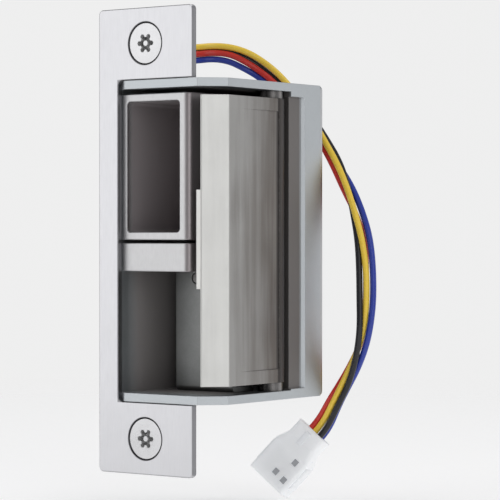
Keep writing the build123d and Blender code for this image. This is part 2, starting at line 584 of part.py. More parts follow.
def make_keeper():
    with BuildPart() as keeper:
        extrude(keeper_plan(), amount=KEEPER_TOP - KEEPER_BOTTOM)
        fillet(keeper.edges().filter_by(Axis.Z).sort_by(Axis.Y)[0], KEEPER_EDGE)
        add_block((PAD_LEFT, KEEPER_INNER + 0.5), (KEEPER_TIP_Y + 1.0, PAD_BACK_Y), (PAD_BOTTOM, PAD_TOP))
        upright = keeper.edges().filter_by(Axis.Z)
        fillet(upright.filter_by_position(Axis.X, PAD_LEFT - 0.1, PAD_LEFT + 0.1), PAD_EDGE)
        add_block((TAIL_TIP_X, PIVOT_X), (PIVOT_Y - TAIL_HALF_THICKNESS, PIVOT_Y + TAIL_HALF_THICKNESS),
                  (TAIL_BOTTOM, TAIL_TOP))
        with BuildSketch(Plane.XY.offset(PANEL_BOTTOM)) as panel:
            with BuildLine():
                Polyline((CASE_RIGHT, PANEL_FRONT_Y), (CASE_RIGHT - PANEL_DEPTH, KEEPER_SIDE_BACK_Y),
                         (CASE_RIGHT - PANEL_DEPTH, KEEPER_SIDE_BACK_Y + 1),
                         (CASE_RIGHT + 1, KEEPER_SIDE_BACK_Y + 1), (CASE_RIGHT + 1, PANEL_FRONT_Y), close=True)
            make_face()
        extrude(panel.sketch, amount=PANEL_TOP - PANEL_BOTTOM, mode=Mode.SUBTRACT)
        rod_z(PIVOT_X, PIVOT_Y, (KEEPER_BOTTOM - 1, KEEPER_TOP + 1), PIN_RADIUS + RUNNING_GAP, Mode.SUBTRACT)
        rod_z(PIVOT_X, PIVOT_Y, (-SPRING_POCKET_HALF, SPRING_POCKET_HALF), SPRING_POCKET_RADIUS, Mode.SUBTRACT)
        cut_spring_window()
        leg_slot = (PIVOT_X + SPRING_RADIUS - 2 * SPRING_WIRE_RADIUS, KEEPER_WEB_X - 0.4)
        add_block(leg_slot, (PIVOT_Y - SPRING_LEG - 0.6, PIVOT_Y), (-SPRING_POCKET_HALF, SPRING_LEG_TOP),
                  Mode.SUBTRACT)
    save(keeper, "keeper")


def cut_spring_window():
    """Opens the barrel's hidden inner side over the spring, so its fixed leg can pass."""
    reach = BARREL_RADIUS + 1
    with BuildSketch(Plane.XY.offset(-SPRING_POCKET_HALF)) as window:
        with BuildLine():
            start = (PIVOT_X + reach * math.cos(math.radians(62)), PIVOT_Y + reach * math.sin(math.radians(62)))
            end = (PIVOT_X + reach * math.cos(math.radians(215)), PIVOT_Y + reach * math.sin(math.radians(215)))
            Line((PIVOT_X, PIVOT_Y), start)
            ThreePointArc(start, (PIVOT_X + reach * math.cos(math.radians(140)),
                                  PIVOT_Y + reach * math.sin(math.radians(140))), end)
            Line(end, (PIVOT_X, PIVOT_Y))
        make_face()
    extrude(window.sketch, amount=2 * SPRING_POCKET_HALF, mode=Mode.SUBTRACT)


def make_keeper_pin():
    with BuildPart() as pin:
        rod_z(PIVOT_X, PIVOT_Y, (-CASE_HALF_HEIGHT, CASE_HALF_HEIGHT), PIN_RADIUS)
        chamfer(pin.edges().filter_by(GeomType.CIRCLE), 0.3)
    save(pin, "keeper_pin")


def make_keeper_bushes():
    wall = CASE_HALF_HEIGHT - WALL
    with BuildPart() as bushes:
        rod_z(PIVOT_X, PIVOT_Y, (KEEPER_TOP + RUNNING_GAP, wall), BUSH_RADIUS)
        rod_z(PIVOT_X, PIVOT_Y, (-wall, KEEPER_BOTTOM - RUNNING_GAP), BUSH_RADIUS)
        rod_z(PIVOT_X, PIVOT_Y, (-wall - 1, wall + 1), PIN_RADIUS + SLIP, Mode.SUBTRACT)
    save(bushes, "keeper_bushes")


def make_keeper_spring():
    """Torsion spring round the pin: one leg in the keeper, one against the case's rib."""
    half = SPRING_HALF_LENGTH
    turns_height = 2 * half - SPRING_PITCH / 2
    with BuildPart() as spring:
        with BuildLine(Plane(origin=(PIVOT_X, PIVOT_Y, -half), z_dir=(0, 0, 1))) as coil_line:
            Helix(SPRING_PITCH, turns_height, SPRING_RADIUS)
        coil = coil_line.line
        with BuildSketch(Plane(origin=coil @ 0, z_dir=coil % 0)):
            Circle(SPRING_WIRE_RADIUS)
        sweep(path=coil, is_frenet=True)
        for end, span in ((coil @ 0, (PIVOT_Y - SPRING_LEG, PIVOT_Y + 0.3)),
                          (coil @ 1, (PIVOT_Y - 0.3, SHIELD_FRONT_Y - 0.3))):
            rod_y(end.X, end.Z, span, SPRING_WIRE_RADIUS)
    save(spring, "keeper_spring")


def lever_nose_points():
    return [
        (LEVER_X, LEVER_Z + 2.4), (LEVER_X + 10.2, LEVER_Z + 1.4), (LEVER_X + 10.2, LEVER_Z - 3.6),
        (LEVER_X + 5.6, LEVER_Z - 3.6), (LEVER_X + 4.2, LEVER_Z - 1.4), (LEVER_X, LEVER_Z - 2.6),
    ]


def link_point():
    return (COIL_X, LEVER_Z - LINK_DROP)


def make_lock_lever():
    blade = (COIL_Y - LEVER_BLADE_HALF, COIL_Y + LEVER_BLADE_HALF)
    link_x, link_z = link_point()
    with BuildPart() as lever:
        rod_y(LEVER_X, LEVER_Z, (LEVER_FRONT_Y, LEVER_HUB_BACK_Y), LEVER_HUB_RADIUS)
        with BuildSketch(Plane(origin=(0, LEVER_FRONT_Y, 0), x_dir=(1, 0, 0), z_dir=(0, -1, 0))):
            with BuildLine():
                Polyline(*lever_nose_points(), close=True)
            make_face()
        extrude(amount=-(LEVER_NOSE_BACK_Y - LEVER_FRONT_Y))
        with BuildSketch(Plane(origin=(0, blade[0], 0), x_dir=(1, 0, 0), z_dir=(0, -1, 0))):
            with BuildLine():
                Polyline((LEVER_X, LEVER_Z + LEVER_ARM_HALF), (link_x, link_z + LEVER_EYE_RADIUS),
                         (link_x, link_z - LEVER_EYE_RADIUS), (LEVER_X, LEVER_Z - LEVER_ARM_HALF),
                         close=True)
            make_face()
            with Locations((link_x, link_z)):
                Circle(LEVER_EYE_RADIUS)
        extrude(amount=-(blade[1] - blade[0]))
        through = (LEVER_FRONT_Y - 1, LEVER_HUB_BACK_Y + 1)
        rod_y(LEVER_X, LEVER_Z, through, LEVER_PIN_RADIUS + RUNNING_GAP, Mode.SUBTRACT)
        slot_plane = Plane(origin=(link_x, blade[0] - 1, link_z), x_dir=(1, 0, 0), z_dir=(0, -1, 0))
        with BuildSketch(slot_plane):
            tilt = math.degrees(math.atan2(LINK_DROP, LINK_REACH))
            SlotCenterToCenter(LINK_SLOT_TRAVEL, 2 * (LINK_PIN_RADIUS + LINK_SLOT_GAP), rotation=tilt)
        extrude(amount=-(blade[1] - blade[0] + 2), mode=Mode.SUBTRACT)
    save(lever, "lock_lever")


def make_lever_pin():
    with BuildPart() as pin:
        rod_y(LEVER_X, LEVER_Z, (BLOCK_BACK_Y + 0.1, COVER_BACK_Y), LEVER_PIN_RADIUS)
        chamfer(pin.edges().filter_by(GeomType.CIRCLE), 0.2)
    save(pin, "lever_pin")


def make_solenoid_yoke():
    x = (COIL_X - YOKE_HALF_WIDTH, COIL_X + YOKE_HALF_WIDTH)
    with BuildPart() as yoke:
        add_block(x, (YOKE_FRONT_Y, CASE_BACK_Y), (YOKE_BOTTOM, YOKE_BOTTOM + YOKE_SHEET))
        add_block(x, (YOKE_FRONT_Y, CASE_BACK_Y), (YOKE_TOP - YOKE_SHEET, YOKE_TOP))
        add_block(x, (CASE_BACK_Y - YOKE_SHEET, CASE_BACK_Y), (YOKE_BOTTOM, YOKE_TOP))
        rod_z(COIL_X, COIL_Y, (YOKE_BOTTOM - 1, YOKE_BOTTOM + YOKE_SHEET + 0.5), PLUNGER_RADIUS + 0.35,
              Mode.SUBTRACT)
        rod_z(COIL_X, COIL_Y, (YOKE_TOP - YOKE_SHEET - 0.5, YOKE_TOP + 1), CORE_STUD_RADIUS + SLIP,
              Mode.SUBTRACT)
        for z in SOLENOID_SCREW_Z:
            rod_y(COIL_X, z, (CASE_BACK_Y - YOKE_SHEET - 1, CASE_BACK_Y + 1), M25_RADIUS + SLIP, Mode.SUBTRACT)
    save(yoke, "solenoid_yoke")


def bobbin_span():
    return (YOKE_BOTTOM + YOKE_SHEET, YOKE_TOP - YOKE_SHEET)


def make_solenoid_bobbin():
    low, high = bobbin_span()
    with BuildPart() as bobbin:
        rod_z(COIL_X, COIL_Y, (low, low + BOBBIN_FLANGE), BOBBIN_RADIUS)
        rod_z(COIL_X, COIL_Y, (high - BOBBIN_FLANGE, high), BOBBIN_RADIUS)
        rod_z(COIL_X, COIL_Y, (low, high), BOBBIN_TUBE_RADIUS)
        rod_z(COIL_X, COIL_Y, (low - 1, high + 1), BOBBIN_BORE_RADIUS, Mode.SUBTRACT)
    save(bobbin, "solenoid_bobbin")


def make_solenoid_coil():
    low, high = bobbin_span()
    span = (low + BOBBIN_FLANGE, high - BOBBIN_FLANGE)
    with BuildPart() as coil:
        rod_z(COIL_X, COIL_Y, span, COIL_RADIUS)
        rod_z(COIL_X, COIL_Y, (span[0] - 1, span[1] + 1), BOBBIN_TUBE_RADIUS + SLIP, Mode.SUBTRACT)
    save(coil, "solenoid_coil")


def make_solenoid_core():
    low, high = bobbin_span()
    with BuildPart() as core:
        rod_z(COIL_X, COIL_Y, (CORE_BOTTOM, high), BOBBIN_BORE_RADIUS - SLIP)
        rod_z(COIL_X, COIL_Y, (high, YOKE_TOP + 0.5), CORE_STUD_RADIUS)
    save(core, "solenoid_core")


def make_plunger():
    link_z = link_point()[1]
    with BuildPart() as plunger:
        rod_z(COIL_X, COIL_Y, (PLUNGER_BOTTOM, PLUNGER_TOP), PLUNGER_RADIUS)
        chamfer(plunger.edges().filter_by(GeomType.CIRCLE), 0.3)
        add_block((COIL_X - 5, COIL_X + 5), (COIL_Y - PLUNGER_SLOT_HALF, COIL_Y + PLUNGER_SLOT_HALF),
                  (PLUNGER_BOTTOM - 1, link_z + PLUNGER_SLOT_REACH), Mode.SUBTRACT)
        rod_y(COIL_X, link_z, (COIL_Y - 5, COIL_Y + 5), LINK_PIN_RADIUS + SLIP, Mode.SUBTRACT)
        with Locations(Location((COIL_X, COIL_Y, CLIP_BOTTOM + CLIP_THICKNESS / 2))):
            Cylinder(PLUNGER_RADIUS + 1, CLIP_THICKNESS + 0.1, mode=Mode.SUBTRACT)
            Cylinder(GROOVE_RADIUS, CLIP_THICKNESS + 0.2)
    save(plunger, "plunger")


def make_link_pin():
    with BuildPart() as pin:
        half = PLUNGER_RADIUS - 0.2
        rod_y(COIL_X, link_point()[1], (COIL_Y - half, COIL_Y + half), LINK_PIN_RADIUS)
    save(pin, "link_pin")


def make_plunger_clip():
    with BuildPart() as clip:
        with BuildSketch(Plane.XY.offset(CLIP_BOTTOM)):
            with Locations((COIL_X, COIL_Y)):
                Circle(CLIP_RADIUS)
                Circle(GROOVE_RADIUS + SLIP, mode=Mode.SUBTRACT)
            with Locations((COIL_X, COIL_Y - CLIP_RADIUS)):
                Rectangle(2 * GROOVE_RADIUS - 1, 2 * CLIP_RADIUS - 1, mode=Mode.SUBTRACT)
        extrude(amount=CLIP_THICKNESS)
    save(clip, "plunger_clip")


def make_plunger_spring():
    low = CLIP_BOTTOM + CLIP_THICKNESS + RETURN_SPRING_WIRE + SLIP
    high = YOKE_BOTTOM - RETURN_SPRING_WIRE - SLIP
    with BuildPart() as spring:
        with BuildLine(Plane(origin=(COIL_X, COIL_Y, low), z_dir=(0, 0, 1))) as line:
            Helix((high - low) / 5, high - low, RETURN_SPRING_RADIUS)
        coil = line.line
        with BuildSketch(Plane(origin=coil @ 0, z_dir=coil % 0)):
            Circle(RETURN_SPRING_WIRE)
        sweep(path=coil, is_frenet=True)
    save(spring, "plunger_spring")


def make_solenoid_screws():
    with BuildPart() as screws:
        for z in SOLENOID_SCREW_Z:
            add_pan_screw_y(COIL_X, z, COVER_BACK_Y, CASE_BACK_Y - YOKE_SHEET, M25_RADIUS,
                            M25_HEAD_RADIUS, M25_HEAD_HEIGHT)
    save(screws, "solenoid_screws")


def wire_start(name):
    return WIRE_ROUTES[name][0]


def make_cable_grommet():
    outer = (CASE_LEFT - GROMMET_FLANGE, CASE_LEFT)
    inner = (LEFT_WALL_REAR_INNER, LEFT_WALL_REAR_INNER + GROMMET_FLANGE)
    with BuildPart() as grommet:
        rod_x(GROMMET_Y, GROMMET_Z, (outer[0], inner[1]), GROMMET_RADIUS)
        rod_x(GROMMET_Y, GROMMET_Z, outer, GROMMET_FLANGE_RADIUS)
        rod_x(GROMMET_Y, GROMMET_Z, inner, GROMMET_FLANGE_RADIUS - 1.3)
        for name in WIRE_ROUTES:
            _, y, z = wire_start(name)
            rod_x(y, z, (outer[0] - 1, inner[1] + 1), WIRE_HOLE_RADIUS, Mode.SUBTRACT)
    save(grommet, "cable_grommet")


def make_terminal_board():
    with BuildPart() as board:
        add_block((BOARD_LEFT, BOARD_RIGHT), BOARD_DEPTHS, (YOKE_TOP + 0.05, BOARD_TOP))
    save(board, "terminal_board")


def plug_point(side, face, along):
    """A point in the plug's own axes: along its side, its face and its length."""
    entry, axis, side_dir = Vector(*PLUG_ENTRY), Vector(*PLUG_AXIS), Vector(*PLUG_SIDE)
    face_dir = axis.cross(side_dir)
    return entry + side_dir * side + face_dir * face + axis * along


def make_plug_housing():
    plane = Plane(origin=PLUG_ENTRY, x_dir=PLUG_SIDE, z_dir=PLUG_AXIS)
    shoulder = NECK_LENGTH + SHOULDER_LENGTH
    with BuildPart() as plug:
        with BuildSketch(plane):
            RectangleRounded(NECK_WIDTH, NECK_DEPTH, NECK_CORNER)
        extrude(amount=NECK_LENGTH)
        with BuildSketch(plane.offset(NECK_LENGTH)):
            RectangleRounded(NECK_WIDTH, NECK_DEPTH, NECK_CORNER)
        with BuildSketch(plane.offset(shoulder)):
            RectangleRounded(PLUG_WIDTH, PLUG_DEPTH, PLUG_CORNER)
        loft()
        with BuildSketch(plane.offset(shoulder)):
            RectangleRounded(PLUG_WIDTH, PLUG_DEPTH, PLUG_CORNER)
        extrude(amount=PLUG_LENGTH)
        with BuildSketch(plane.offset(shoulder + PLUG_LENGTH)):
            with GridLocations(*CAVITY_PITCH, 2, 2):
                RectangleRounded(CAVITY_SIDE, CAVITY_SIDE, 0.3)
        extrude(amount=-CAVITY_DEPTH, mode=Mode.SUBTRACT)
    save(plug, "plug_housing")


def make_plug_terminals():
    plane = Plane(origin=PLUG_ENTRY, x_dir=PLUG_SIDE, z_dir=PLUG_AXIS)
    depth = NECK_LENGTH + SHOULDER_LENGTH + PLUG_LENGTH - CAVITY_DEPTH
    with BuildPart() as terminals:
        with BuildSketch(plane.offset(depth)):
            with GridLocations(*CAVITY_PITCH, 2, 2):
                Rectangle(TERMINAL_SIDE, TERMINAL_SIDE)
        extrude(amount=TERMINAL_LENGTH)
        with BuildSketch(plane.offset(depth + TERMINAL_LENGTH)):
            with GridLocations(*CAVITY_PITCH, 2, 2):
                Rectangle(TERMINAL_BORE, TERMINAL_BORE)
        extrude(amount=-5.0, mode=Mode.SUBTRACT)
    save(terminals, "plug_terminals")


def full_route(name):
    side, face = WIRE_ENTRIES[name]
    points = [Vector(*point) for point in WIRE_ROUTES[name]]
    return points + [plug_point(side, face, -LEAD_IN), plug_point(side, face, 0)]


def corner_radii(points):
    radii = []
    for before, corner, after in zip(points, points[1:], points[2:]):
        run_in, run_out = corner - before, after - corner
        half_turn = math.radians(run_in.get_angle(run_out)) / 2
        radii.append(0.45 * min(run_in.length, run_out.length) / math.tan(half_turn))
    return radii


def make_wire(name):
    points = full_route(name)
    radii = corner_radii(points)
    with BuildPart() as wire:
        with BuildLine() as route:
            FilletPolyline(*points, radius=radii)
        with BuildSketch(Plane(origin=points[0], z_dir=(points[1] - points[0]))):
            Circle(WIRE_RADIUS)
        sweep(path=route.wire())
    length = sum(edge.length for edge in route.line.edges())
    ideal = math.pi * WIRE_RADIUS**2 * length
    print(name, "length", round(length, 1), "volume ratio", round(wire.part.volume / ideal, 4),
          "radii", [round(radius, 1) for radius in radii])
    save(wire, name)


make_faceplate()
make_frame_screws()
make_case()
make_back_cover()
make_cover_screws()
make_deadbolt_box()
make_guard_block()
make_insert_screws()
make_latch_plate()
make_latch_plate_screws()
make_keeper()
make_keeper_pin()
make_keeper_bushes()
make_keeper_spring()
make_lock_lever()
make_lever_pin()
make_solenoid_yoke()
make_solenoid_bobbin()
make_solenoid_coil()
make_solenoid_core()
make_plunger()
make_link_pin()
make_plunger_clip()
make_plunger_spring()
make_solenoid_screws()
make_cable_grommet()
make_terminal_board()
make_plug_housing()
make_plug_terminals()
for wire_name in WIRE_ROUTES:
    make_wire(wire_name)
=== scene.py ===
import bmesh
import bpy
import json
import math
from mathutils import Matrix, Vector

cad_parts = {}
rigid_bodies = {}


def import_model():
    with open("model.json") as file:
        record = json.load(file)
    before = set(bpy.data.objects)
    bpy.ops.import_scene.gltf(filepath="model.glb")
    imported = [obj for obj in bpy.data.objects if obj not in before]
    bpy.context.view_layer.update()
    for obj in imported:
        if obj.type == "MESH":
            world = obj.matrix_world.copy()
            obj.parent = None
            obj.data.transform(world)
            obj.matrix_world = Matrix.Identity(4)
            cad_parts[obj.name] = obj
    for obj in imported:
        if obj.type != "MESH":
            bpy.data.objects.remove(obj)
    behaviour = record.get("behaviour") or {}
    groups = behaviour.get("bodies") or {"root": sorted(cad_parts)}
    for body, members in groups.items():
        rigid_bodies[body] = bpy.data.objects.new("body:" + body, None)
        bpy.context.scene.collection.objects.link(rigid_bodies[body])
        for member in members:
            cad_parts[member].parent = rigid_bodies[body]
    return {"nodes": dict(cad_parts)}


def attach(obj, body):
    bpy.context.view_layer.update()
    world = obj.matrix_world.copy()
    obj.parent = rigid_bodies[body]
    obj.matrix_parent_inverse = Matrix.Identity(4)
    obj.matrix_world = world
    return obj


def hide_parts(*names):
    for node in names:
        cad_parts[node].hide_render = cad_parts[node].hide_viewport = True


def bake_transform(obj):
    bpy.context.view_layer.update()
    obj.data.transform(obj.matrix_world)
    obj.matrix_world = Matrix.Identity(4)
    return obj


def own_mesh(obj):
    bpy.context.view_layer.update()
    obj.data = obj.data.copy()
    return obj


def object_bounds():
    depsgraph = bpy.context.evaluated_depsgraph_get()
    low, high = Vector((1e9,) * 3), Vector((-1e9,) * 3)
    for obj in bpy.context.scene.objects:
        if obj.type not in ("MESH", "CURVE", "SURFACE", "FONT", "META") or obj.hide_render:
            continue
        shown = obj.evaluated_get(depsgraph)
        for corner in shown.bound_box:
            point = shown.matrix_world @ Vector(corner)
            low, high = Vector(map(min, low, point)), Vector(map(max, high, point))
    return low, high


for old in list(bpy.data.objects):
    bpy.data.objects.remove(old, do_unlink=True)

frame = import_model()
cad_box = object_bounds()
scene = bpy.context.scene
MM = 0.001


def add_object(name, data):
    made = bpy.data.objects.new(name, data)
    scene.collection.objects.link(made)
    return made


def add_mesh(name, shape, material):
    """The bmesh shape, used up, as an object with one material."""
    mesh = bpy.data.meshes.new(name)
    shape.to_mesh(mesh)
    shape.free()
    mesh.materials.append(material)
    return add_object(name, mesh)


# ---------------------------------------------------------------- materials
class Shader:
    """A procedural material under construction: one Principled shader and the nodes that feed it."""

    def __init__(self, name, **values):
        self.material = bpy.data.materials.new(name)
        self.material.use_nodes = True
        self.tree = self.material.node_tree
        self.out = self.tree.nodes["Principled BSDF"]
        self.place = self.node("ShaderNodeTexCoord").outputs["Object"]
        for key, value in values.items():
            self.set(key.replace("_", " "), value)

    def node(self, kind, **settings):
        made = self.tree.nodes.new(kind)
        for key, value in settings.items():
            setattr(made, key, value)
        return made

    def set(self, socket, value):
        wanted = {s.name.lower(): s for s in self.out.inputs}[socket.lower()]
        if hasattr(value, "links"):
            self.tree.links.new(value, wanted)
        else:
            wanted.default_value = (*value, 1) if wanted.type == "RGBA" else value

    def join(self, source, target):
        if hasattr(source, "links"):
            self.tree.links.new(source, target)
        else:
            target.default_value = source

    def noise(self, scale, stretch=(1, 1, 1), detail=4.0, rough=0.55):
        """Noise in object space; scale is in features per metre."""
        mapping = self.node("ShaderNodeMapping")
        mapping.inputs["Scale"].default_value = stretch
        self.join(self.place, mapping.inputs["Vector"])
        made = self.node("ShaderNodeTexNoise")
        self.join(mapping.outputs["Vector"], made.inputs["Vector"])
        made.inputs["Scale"].default_value = scale
        made.inputs["Detail"].default_value = detail
        made.inputs["Roughness"].default_value = rough
        return made.outputs["Fac"]

    def spread(self, value, low, high, to_low=0.0, to_high=1.0):
        """The value mapped from the span low..high to the span to_low..to_high, and kept within it."""
        made = self.node("ShaderNodeMapRange")
        self.join(value, made.inputs["Value"])
        for key, number in zip(("From Min", "From Max", "To Min", "To Max"), (low, high, to_low, to_high)):
            self.join(number, made.inputs[key])
        return made.outputs["Result"]

    def maths(self, kind, a, b=0.0):
        made = self.node("ShaderNodeMath", operation=kind)
        self.join(a, made.inputs[0])
        self.join(b, made.inputs[1])
        return made.outputs[0]

    def mix(self, factor, a, b):
        made = self.node("ShaderNodeMix", data_type="RGBA")
        self.join(factor, made.inputs["Factor"])
        for value, target in ((a, made.inputs[6]), (b, made.inputs[7])):
            self.join(value if hasattr(value, "links") else (*value, 1), target)
        return made.outputs[2]

    def bevel(self, radius):
        made = self.node("ShaderNodeBevel", samples=6)
        made.inputs["Radius"].default_value = radius
        return made.outputs["Normal"]

    def bump(self, height, strength, distance, normal=None):
        made = self.node("ShaderNodeBump")
        self.join(height, made.inputs["Height"])
        made.inputs["Strength"].default_value = strength
        made.inputs["Distance"].default_value = distance
        if normal is not None:
            self.join(normal, made.inputs["Normal"])
        return made.outputs["Normal"]

    def edges(self, rounded):
        """1 where the rounded normal turns away from the face's own normal, which is along edges."""
        face = self.node("ShaderNodeNewGeometry").outputs["Normal"]
        dot = self.node("ShaderNodeVectorMath", operation="DOT_PRODUCT")
        self.join(rounded, dot.inputs[0])
        self.join(face, dot.inputs[1])
        return self.spread(self.maths("SUBTRACT", 1.0, dot.outputs["Value"]), 0.02, 0.3)

    def closed_in(self, reach):
        """0 in the open and 1 deep in a recess, with other surfaces within reach all round."""
        made = self.node("ShaderNodeAmbientOcclusion", samples=6)
        made.inputs["Distance"].default_value = reach
        return self.spread(made.outputs["AO"], 0.8, 0.25)

    def ring(self, height):
        """Distance in metres from two axes along Y, one at that height and one as far below the origin."""
        flat = self.node("ShaderNodeCombineXYZ")
        self.join(self.axis("X"), flat.inputs[0])
        self.join(self.maths("SUBTRACT", self.maths("ABSOLUTE", self.axis("Z")), height), flat.inputs[2])
        made = self.node("ShaderNodeVectorMath", operation="LENGTH")
        self.join(flat.outputs[0], made.inputs[0])
        return made.outputs["Value"]

    def axis(self, which):
        made = self.node("ShaderNodeSeparateXYZ")
        self.join(self.place, made.inputs[0])
        return made.outputs[which]


# Near black, painted into the recesses as shade.
RECESS_SHADE_COLOUR = (0.012, 0.011, 0.011)
GRAIN_DEPTH = 0.00002
DULL_METALLIC = 0.25


def metal(name, colour, roughness, grain=(1, 1, 1), grain_scale=2500.0, mottle=0.08, wear=0.3,
          edge=0.00025, bump=0.15, shade_reach=0.012, depth=0.65, stain_and_shade=None, dull=None):
    """Machined, cast or plated metal: fine grain or brush lines, slow mottling, brighter worn edges, and
    painted shade that darkens the recesses. The function passed as stain may change the colour before the
    wear, and may paint shade there; dull(shader) is 1 where the surface is dull and scatters light instead
    of reflecting it. The edge rounding and the reach of the recess shade are in metres."""
    s = Shader(name, metallic=1.0)
    fine = s.noise(grain_scale, grain, detail=5.0, rough=0.65)
    slow = s.noise(90.0, detail=3.0)
    rounded = s.bevel(edge)
    worn = s.edges(rounded)
    broken = s.maths("MULTIPLY", worn, s.spread(s.noise(700.0, detail=3.0), 0.35, 0.65, 0.3, 1.0))
    dark = tuple(c * (1 - mottle) for c in colour)
    light = tuple(min(1.0, c * (1 + mottle)) for c in colour)
    base = s.mix(s.spread(slow, 0.3, 0.7), dark, light)
    base = s.mix(s.spread(fine, 0.2, 0.8, 0.0, 0.35), base, tuple(c * 0.8 for c in colour))
    if stain_and_shade:
        base = stain_and_shade(s, base)
    bright = tuple(min(1.0, c * 1.25 + 0.05) for c in colour)
    base = s.mix(s.maths("MULTIPLY", broken, wear), base, bright)
    # Painted shade: the recesses darken towards near black, where less light reaches them.
    recess_shade = s.maths("MULTIPLY", s.closed_in(shade_reach), s.spread(slow, 0.2, 0.8, 0.85, 1.0))
    s.set("base color", s.mix(s.maths("MULTIPLY", recess_shade, depth), base, RECESS_SHADE_COLOUR))
    s.set("roughness", s.spread(s.maths("ADD", fine, s.maths("MULTIPLY", slow, 0.5)), 0.45, 1.05,
                                roughness * 0.8, roughness * 1.2))
    s.set("normal", s.bump(fine, bump, GRAIN_DEPTH, rounded))
    if dull:
        s.set("metallic", s.spread(dull(s), 0.0, 1.0, 1.0, DULL_METALLIC))
    return s.material


def plastic(name, colour, roughness=0.4, mottle=0.05, bump=0.1, scale=1500.0, edge=0.0002, **values):
    """Moulded or extruded plastic: an even colour with slight flow marks and a fine skin."""
    s = Shader(name, **values)
    fine = s.noise(scale, detail=4.0)
    slow = s.noise(120.0, detail=2.0)
    s.set("base color", s.mix(s.spread(slow, 0.3, 0.7), tuple(c * (1 - mottle) for c in colour),
                              tuple(min(1.0, c * (1 + mottle)) for c in colour)))
    s.set("roughness", s.spread(fine, 0.3, 0.7, roughness * 0.85, roughness * 1.15))
    s.set("normal", s.bump(fine, bump, GRAIN_DEPTH, s.bevel(edge)))
    return s.material


TURN_PITCH = 0.00042
TURN_WANDER = 0.00035


def winding(name):
    """Enamelled copper wire wound in close turns, under clear varnish, with painted shade in the grooves
    between turns.
    """
    s = Shader(name, roughness=0.3, metallic=0.35, coat_weight=0.6, coat_roughness=0.15)
    wander = s.maths("MULTIPLY", s.noise(160.0, detail=2.0), TURN_WANDER)
    turn = s.maths("MULTIPLY", s.maths("ADD", s.axis("Z"), wander), math.tau / TURN_PITCH)
    ridge = s.spread(s.maths("SINE", turn), -1.0, 1.0)
    # Painted shade: dark in the grooves between the turns.
    s.set("base color", s.mix(ridge, (0.12, 0.04, 0.01), (0.62, 0.25, 0.06)))
    s.set("normal", s.bump(ridge, 0.6, 0.0001))
    return s.material


# Where a colour starts and ends its change, as distances in metres from the origin.
SCREW_HEIGHT = 52.3875
# Spans of the painted shade along the plate's edges, the cutout's edge and round the countersinks.
PLATE_SIDE_EDGE_SHADE, PLATE_END_EDGE_SHADE = (0.01555, 0.0158), (0.0616, 0.06185)
CUTOUT_SIDE_EDGE_SHADE, CUTOUT_END_EDGE_SHADE = (-0.0096, -0.00935), (0.04315, 0.0429)
COUNTERSINK_SHADE = (0.00595, 0.0057)
KEEPER_SHADE, KEEPER_LIP_HIGHLIGHT, KEEPER_BARREL_SHADE = (0.0015, 0.0225), (0.0016, 0.0011), (0.0229, 0.0232)
BOX_MOUTH, BOX_SIDE = (-0.0022, 0.0), (0.0113, 0.0124)
DRIVE_MOUTH, DRIVE_FLOOR = (-0.00462, -0.0045), (-0.0015, -0.002)
CASE_RIGHT_WALL, CASE_LEFT_WALL, CASE_FLANGE = (0.0195, 0.0165), (-0.0122, -0.0118), (-0.001, 0.004)
BAND_RIGHT, BAND_LEFT = (0.0226, 0.02245), (0.0185, 0.019)
BAND_FRONT, BAND_BACK = (0.028, 0.029), (0.0352, 0.0340)
CASE_END = (0.0415, 0.0410)
HINGE_SIDE = (0.0172, 0.0185)


def plate_painted_shade(s, base):
    """Painted shade: a dark ring in the countersinks round the screw heads, and a grey outline along the
    plate's edges and the cutout's edge.
    """
    across, up = s.maths("ABSOLUTE", s.axis("X")), s.maths("ABSOLUTE", s.axis("Z"))
    rim = s.maths("MAXIMUM", s.spread(across, *PLATE_SIDE_EDGE_SHADE), s.spread(up, *PLATE_END_EDGE_SHADE))
    cutout = s.maths("MULTIPLY", s.spread(s.axis("X"), *CUTOUT_SIDE_EDGE_SHADE), s.spread(up, *CUTOUT_END_EDGE_SHADE))
    # Painted shade: the grey outline along the edges.
    base = s.mix(s.maths("MULTIPLY", s.maths("MAXIMUM", rim, cutout), 0.75), base, (0.16, 0.16, 0.17))
    return s.mix(s.spread(s.ring(SCREW_HEIGHT * MM), *COUNTERSINK_SHADE), base, (0.05, 0.05, 0.055))


def keeper_streaks_and_painted_light(s, _):
    """Long soft streaks and patches down the side, with painted shade that makes it browner and darker
    towards the hinge and on the barrel, and a painted highlight on the lip facet.
    """
    streak = s.noise(420.0, (1, 1, 0.05), detail=3.0)
    patch = s.noise(55.0, (1, 1, 0.6), detail=2.0)
    back = s.spread(s.axis("Y"), *KEEPER_SHADE)
    shade = s.maths("ADD", back, s.spread(s.maths("ADD", streak, patch), 0.75, 1.25, -0.3, 0.3))
    tone = s.mix(s.spread(shade, 0.0, 1.0), (0.36, 0.355, 0.345), (0.165, 0.15, 0.138))
    # Painted highlight: the lip facet is lighter, as where it faces the lamps.
    lip_highlight = s.spread(s.axis("Y"), *KEEPER_LIP_HIGHLIGHT)
    tone = s.mix(s.maths("MULTIPLY", lip_highlight, s.spread(streak, 0.3, 0.7, 1.0, 0.85)), tone, (0.64, 0.64, 0.62))
    # Painted shade: the barrel is dark.
    return s.mix(s.spread(s.axis("Y"), *KEEPER_BARREL_SHADE), tone, (0.085, 0.078, 0.075))


def insert_painted_shade(s, base):
    """Painted shade: brown-grey inside the deadbolt box and down its right side, behind its satin rim."""
    side = s.spread(s.axis("X"), *BOX_SIDE)
    return s.mix(s.maths("MAXIMUM", insert_dull_and_shaded(s), side), base, (0.34, 0.31, 0.315))


# 1 inside the deadbolt box, which is dull and carries painted shade.
def insert_dull_and_shaded(s):
    return s.spread(s.axis("Y"), *BOX_MOUTH)


